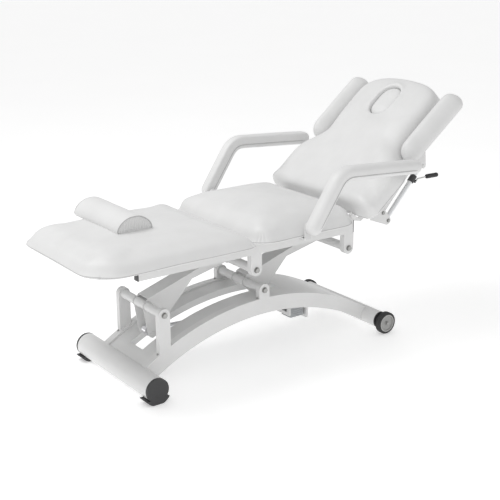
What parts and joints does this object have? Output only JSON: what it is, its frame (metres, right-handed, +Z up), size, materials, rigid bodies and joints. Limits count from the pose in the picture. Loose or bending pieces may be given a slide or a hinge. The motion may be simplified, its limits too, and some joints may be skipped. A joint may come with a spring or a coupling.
{
  "type": "facial treatment bed",
  "caption": "Height-adjustable facial bed: padded leg and seat sections, reclining backrest with face hole and plug, armrests, scissor-style lift arms on an arched wheeled base.",
  "frame": {"origin": "on the floor, under the middle of the bed's overall length and width", "axes": "+X towards the head end, +Y towards the right hand of somebody lying face up, +Z up"},
  "size_m": [1.9156, 0.829, 1.0884],
  "materials": {
    "powder_coat": "semi-gloss off-white powder coat",
    "zinc_steel": "bright zinc plate",
    "chrome_rod": "polished",
    "black_plastic": "fine texture",
    "bush_plastic": "smooth",
    "grey_housing": "moulded, fine texture",
    "board": "light grey laminated board",
    "white_vinyl": "smooth satin vinyl upholstery",
    "wheel_rubber": "ribbed tread on a grey hub",
    "bright_tube": "brushed bright tube"
  },
  "bodies": {
    "base": {"front_tube": "powder_coat", "rear_tube": "powder_coat", "base_rails": "powder_coat", "base_panel": "powder_coat", "front_end_caps": "black_plastic", "rear_end_caps": "black_plastic", "axle_bolts": "zinc_steel", "front_posts": "powder_coat", "rear_lower_brackets": "powder_coat", "lower_pivot_bolts": "zinc_steel", "post_screws": "zinc_steel", "actuator_hangers": "powder_coat"},
    "front_arm": {"front_arm_channel": "powder_coat", "front_arm_tubes": "powder_coat", "front_arm_bushes": "bush_plastic"},
    "rear_arm": {"rear_arm_channel": "powder_coat", "rear_arm_tubes": "powder_coat", "rear_arm_bushes": "bush_plastic"},
    "lift_motor_body": {"lift_motor": "grey_housing"},
    "lift_rod_body": {"lift_rod": "chrome_rod"},
    "top_frame": {"side_rails": "powder_coat", "cross_members": "powder_coat", "upper_brackets": "powder_coat", "upper_pivot_bolts": "zinc_steel", "rail_plugs": "black_plastic", "leg_board": "board", "seat_board": "board", "leg_cushion": "white_vinyl", "seat_cushion": "white_vinyl", "back_hinge_lugs": "powder_coat", "armrest_brackets": "powder_coat", "control_box": "grey_housing", "back_motor": "grey_housing"},
    "backrest": {"back_frame": "powder_coat", "back_board": "board", "back_cushion": "white_vinyl", "support_lower_plates": "powder_coat", "support_pins": "zinc_steel", "back_crank": "powder_coat", "frame_plugs": "black_plastic"},
    "back_rod_body": {"back_rod": "chrome_rod"},
    "face_plug_body": {"face_plug": "white_vinyl"},
    "bolster_body": {"bolster": "white_vinyl"},
    "right_bar_body": {"right_support_bar": "powder_coat"},
    "right_link_body": {"right_support_link": "bright_tube", "right_lock_body": "black_plastic"},
    "right_carrier_body": {"right_support_carrier": "powder_coat", "right_side_cushion": "white_vinyl"},
    "right_lever_body": {"right_release_lever": "black_plastic"},
    "right_armrest_body": {"right_armrest": "white_vinyl"},
    "right_wheel_body": {"right_wheel": "wheel_rubber"},
    "left_bar_body": {"left_support_bar": "powder_coat"},
    "left_link_body": {"left_support_link": "bright_tube", "left_lock_body": "black_plastic"},
    "left_carrier_body": {"left_support_carrier": "powder_coat", "left_side_cushion": "white_vinyl"},
    "left_lever_body": {"left_release_lever": "black_plastic"},
    "left_armrest_body": {"left_armrest": "white_vinyl"},
    "left_wheel_body": {"left_wheel": "wheel_rubber"}
  },
  "joints": [
    {"name": "lift", "type": "hinge", "parent": "base", "child": "front_arm", "pos_m": [-0.56685, 0, 0.31], "axis": [0, -1, 0], "range_deg": [-8, 40]},
    {"name": "rear_arm_swing", "type": "hinge", "parent": "base", "child": "rear_arm", "pos_m": [-0.06685, 0, 0.31], "axis": [0, -1, 0], "range_deg": [-8, 40]},
    {"name": "top_level", "type": "hinge", "parent": "front_arm", "child": "top_frame", "pos_m": [-0.16285, 0, 0.44], "axis": [0, -1, 0], "range_deg": [-40, 8]},
    {"name": "lift_motor_swing", "type": "hinge", "parent": "base", "child": "lift_motor_body", "pos_m": [0.22115, 0, 0.142], "axis": [0, -1, 0], "range_deg": [-3.5, 1]},
    {"name": "lift_rod_slide", "type": "slide", "parent": "lift_motor_body", "child": "lift_rod_body", "axis": [-0.9982, 0, 0.0598], "range_m": [-0.0735, 0.015]},
    {"name": "backrest_recline", "type": "hinge", "parent": "top_frame", "child": "backrest", "pos_m": [0.34715, 0, 0.588], "axis": [0, -1, 0], "range_deg": [-38.6, 26]},
    {"name": "back_rod_slide", "type": "slide", "parent": "top_frame", "child": "back_rod_body", "axis": [1, 0, 0.0036], "range_m": [-0.0415, 0.0285]},
    {"name": "right_support_swing", "type": "hinge", "parent": "backrest", "child": "right_bar_body", "pos_m": [0.49807, 0.272, 0.58107], "axis": [0, -1, 0], "range_deg": [-30, 0]},
    {"name": "right_link_swing", "type": "hinge", "parent": "backrest", "child": "right_link_body", "pos_m": [0.52989, 0.272, 0.54122], "axis": [0, -1, 0], "range_deg": [-30, 0]},
    {"name": "right_carrier_level", "type": "hinge", "parent": "right_bar_body", "child": "right_carrier_body", "pos_m": [0.70015, 0.272, 0.79997], "axis": [0, -1, 0], "range_deg": [0, 30]},
    {"name": "right_lever_squeeze", "type": "hinge", "parent": "right_link_body", "child": "right_lever_body", "pos_m": [0.698, 0.272, 0.69088], "axis": [0, -1, 0], "range_deg": [0, 15]},
    {"name": "right_armrest_drop", "type": "hinge", "parent": "top_frame", "child": "right_armrest_body", "pos_m": [0.02415, 0.383, 0.619], "axis": [0, -1, 0], "range_deg": [-55, 0]},
    {"name": "right_wheel_spin", "type": "hinge", "parent": "base", "child": "right_wheel_body", "pos_m": [0.54315, 0.279, 0.0505], "axis": [0, 1, 0], "continuous": true},
    {"name": "left_support_swing", "type": "hinge", "parent": "backrest", "child": "left_bar_body", "pos_m": [0.49807, -0.272, 0.58107], "axis": [0, -1, 0], "range_deg": [-30, 0]},
    {"name": "left_link_swing", "type": "hinge", "parent": "backrest", "child": "left_link_body", "pos_m": [0.52989, -0.272, 0.54122], "axis": [0, -1, 0], "range_deg": [-30, 0]},
    {"name": "left_carrier_level", "type": "hinge", "parent": "left_bar_body", "child": "left_carrier_body", "pos_m": [0.70015, -0.272, 0.79997], "axis": [0, -1, 0], "range_deg": [0, 30]},
    {"name": "left_lever_squeeze", "type": "hinge", "parent": "left_link_body", "child": "left_lever_body", "pos_m": [0.698, -0.272, 0.69088], "axis": [0, -1, 0], "range_deg": [0, 15]},
    {"name": "left_armrest_drop", "type": "hinge", "parent": "top_frame", "child": "left_armrest_body", "pos_m": [0.02415, -0.383, 0.619], "axis": [0, -1, 0], "range_deg": [-55, 0]},
    {"name": "left_wheel_spin", "type": "hinge", "parent": "base", "child": "left_wheel_body", "pos_m": [0.54315, -0.279, 0.0505], "axis": [0, 1, 0], "continuous": true},
    {"name": "face_plug_lift", "type": "slide", "parent": "backrest", "child": "face_plug_body", "axis": [-0.6239, 0, 0.7815], "range_m": [0, 0.15]},
    {"name": "bolster_lift", "type": "slide", "parent": "top_frame", "child": "bolster_body", "axis": [0, 0, 1], "range_m": [0, 0.25]}
  ],
  "couplings": [
    {"joint": "rear_arm_swing", "follows": "lift", "ratio": 1},
    {"joint": "top_level", "follows": "lift", "ratio": -1},
    {"joint": "lift_motor_swing", "follows": "lift", "ratio": -0.08392},
    {"joint": "lift_rod_slide", "follows": "lift", "m_per_rad": -0.10341},
    {"joint": "back_rod_slide", "follows": "backrest_recline", "m_per_rad": 0.060617},
    {"joint": "right_link_swing", "follows": "right_support_swing", "ratio": 1},
    {"joint": "right_carrier_level", "follows": "right_support_swing", "ratio": -1},
    {"joint": "left_link_swing", "follows": "left_support_swing", "ratio": 1},
    {"joint": "left_carrier_level", "follows": "left_support_swing", "ratio": -1}
  ]
}
